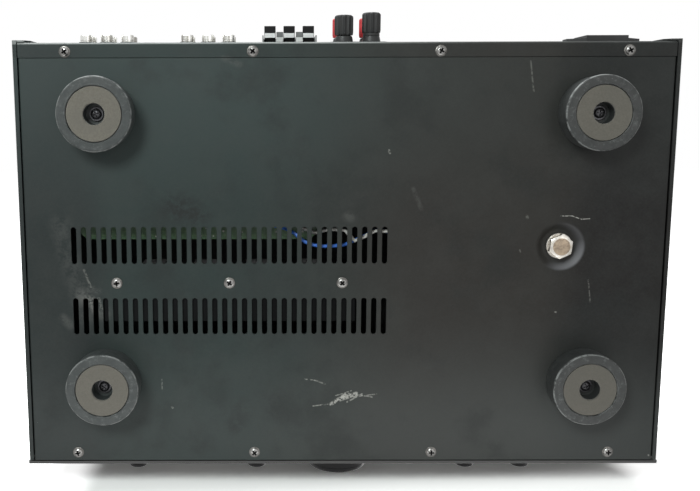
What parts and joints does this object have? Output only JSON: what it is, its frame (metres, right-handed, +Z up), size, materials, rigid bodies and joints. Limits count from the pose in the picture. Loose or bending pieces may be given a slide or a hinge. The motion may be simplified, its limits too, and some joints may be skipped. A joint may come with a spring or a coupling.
{
  "type": "hi-fi stereo amplifier",
  "caption": "Full-width hi-fi stereo amplifier with front dials, vented folded-steel case, round feet, phono inputs and loudspeaker terminals.",
  "frame": {"origin": "on the surface that the feet stand on, under the middle of the bounding box with knobs and posts", "axes": "+X to the right seen from the front, +Y from the front panel to the rear panel, +Z up"},
  "size_m": [0.4316, 0.3264, 0.1205],
  "materials": {
    "aluminium": "anodised extrusion",
    "bare_steel": "zinc-plated steel",
    "black_plastic": "moulded, fine satin",
    "black_zinc": "blackened screw",
    "blue_sleeve": "insulated lead",
    "board_green": "solder-masked board",
    "bracket_steel": "zinc-plated sheet",
    "capacitor_sleeve": "shrunk sleeve",
    "case_paint": "black crinkle-free powder paint, satin, worn on edges",
    "foot_rubber": "dark grey moulded foot, rim worn lighter",
    "grey_plastic": "moulded, mid grey",
    "inlay_grey": "beige-grey felted disc",
    "knob_plastic": "satin black knob",
    "nickel": "nickel-plated",
    "panel_paint": "satin black front panel",
    "red_plastic": "moulded, red",
    "white_sleeve": "insulated lead",
    "winding_tape": "wound polyester tape"
  },
  "bodies": {
    "root": {"bottom_plate": "case_paint", "rear_panel": "case_paint", "top_cover": "case_paint", "front_panel": "panel_paint", "front_bracket": "bracket_steel", "foot_front_left": "foot_rubber", "foot_inlay_front_left": "inlay_grey", "foot_screw_front_left": "black_zinc", "foot_front_right": "foot_rubber", "foot_inlay_front_right": "inlay_grey", "foot_screw_front_right": "black_zinc", "foot_rear_left": "foot_rubber", "foot_inlay_rear_left": "inlay_grey", "foot_screw_rear_left": "black_zinc", "foot_rear_right": "foot_rubber", "foot_inlay_rear_right": "inlay_grey", "foot_screw_rear_right": "black_zinc", "transformer": "winding_tape", "transformer_clamp": "bare_steel", "transformer_bolt": "bare_steel", "transformer_lead_blue": "blue_sleeve", "transformer_lead_white": "white_sleeve", "heat_sink": "aluminium", "heat_sink_screw_1": "bare_steel", "heat_sink_screw_2": "bare_steel", "heat_sink_screw_3": "bare_steel", "power_transistor_1": "black_plastic", "power_transistor_2": "black_plastic", "power_transistor_3": "black_plastic", "power_transistor_4": "black_plastic", "main_board": "board_green", "control_board": "board_green", "reservoir_capacitor_1": "capacitor_sleeve", "reservoir_capacitor_2": "capacitor_sleeve", "bass_pot": "bare_steel", "treble_pot": "bare_steel", "volume_pot": "bare_steel", "balance_pot": "bare_steel", "selector_pot": "bare_steel", "power_switch": "black_plastic", "headphone_socket": "black_plastic", "input_jacks_1": "nickel", "input_jacks_2": "nickel", "push_terminal_block": "grey_plastic", "speaker_post_base": "black_plastic", "mains_inlet": "black_plastic"},
    "bass_knob": {"bass_knob": "knob_plastic"},
    "treble_knob": {"treble_knob": "knob_plastic"},
    "volume_knob": {"volume_knob": "knob_plastic"},
    "balance_knob": {"balance_knob": "knob_plastic"},
    "selector_knob": {"selector_knob": "knob_plastic"},
    "power_button": {"power_button": "knob_plastic"},
    "push_lever_1": {"push_lever_1": "black_plastic"},
    "push_lever_2": {"push_lever_2": "black_plastic"},
    "push_lever_3": {"push_lever_3": "black_plastic"},
    "post_cap_black_left": {"post_cap_black_left": "black_plastic"},
    "post_cap_black_right": {"post_cap_black_right": "black_plastic"},
    "post_cap_red_left": {"post_cap_red_left": "red_plastic"},
    "post_cap_red_right": {"post_cap_red_right": "red_plastic"}
  },
  "joints": [
    {"name": "bass_turn", "type": "hinge", "parent": "root", "child": "bass_knob", "pos_m": [-0.13149, -0.14245, 0.052], "axis": [0, 1, 0], "range_deg": [-150, 150]},
    {"name": "treble_turn", "type": "hinge", "parent": "root", "child": "treble_knob", "pos_m": [-0.0915, -0.14245, 0.052], "axis": [0, 1, 0], "range_deg": [-150, 150]},
    {"name": "volume_turn", "type": "hinge", "parent": "root", "child": "volume_knob", "pos_m": [0, -0.14245, 0.07], "axis": [0, 1, 0], "range_deg": [-150, 150]},
    {"name": "balance_turn", "type": "hinge", "parent": "root", "child": "balance_knob", "pos_m": [0.05949, -0.14245, 0.052], "axis": [0, 1, 0], "range_deg": [-150, 150]},
    {"name": "selector_turn", "type": "hinge", "parent": "root", "child": "selector_knob", "pos_m": [0.14549, -0.14245, 0.052], "axis": [0, 1, 0], "range_deg": [-60, 60]},
    {"name": "power_push", "type": "slide", "parent": "root", "child": "power_button", "axis": [0, 1, 0], "range_m": [0, 0.003], "stiffness_N_per_m": 400, "springref_m": -0.001},
    {"name": "lever_1_press", "type": "hinge", "parent": "root", "child": "push_lever_1", "pos_m": [0.0232, 0.14435, 0.0658], "axis": [1, 0, 0], "range_deg": [-22, 0], "stiffness_Nm_per_rad": 0.08, "springref_deg": 5.73},
    {"name": "lever_2_press", "type": "hinge", "parent": "root", "child": "push_lever_2", "pos_m": [0.0362, 0.14435, 0.0658], "axis": [1, 0, 0], "range_deg": [-22, 0], "stiffness_Nm_per_rad": 0.08, "springref_deg": 5.73},
    {"name": "lever_3_press", "type": "hinge", "parent": "root", "child": "push_lever_3", "pos_m": [0.0492, 0.14435, 0.0658], "axis": [1, 0, 0], "range_deg": [-22, 0], "stiffness_Nm_per_rad": 0.08, "springref_deg": 5.73},
    {"name": "cap_black_left_unscrew", "type": "hinge", "parent": "root", "child": "post_cap_black_left", "pos_m": [-0.01925, 0.14325, 0.049], "axis": [0, 1, 0], "range_deg": [0, 720]},
    {"name": "cap_black_right_unscrew", "type": "hinge", "parent": "root", "child": "post_cap_black_right", "pos_m": [-0.00075, 0.14325, 0.049], "axis": [0, 1, 0], "range_deg": [0, 720]},
    {"name": "cap_red_left_unscrew", "type": "hinge", "parent": "root", "child": "post_cap_red_left", "pos_m": [-0.01925, 0.14325, 0.068], "axis": [0, 1, 0], "range_deg": [0, 720]},
    {"name": "cap_red_right_unscrew", "type": "hinge", "parent": "root", "child": "post_cap_red_right", "pos_m": [-0.00075, 0.14325, 0.068], "axis": [0, 1, 0], "range_deg": [0, 720]}
  ]
}
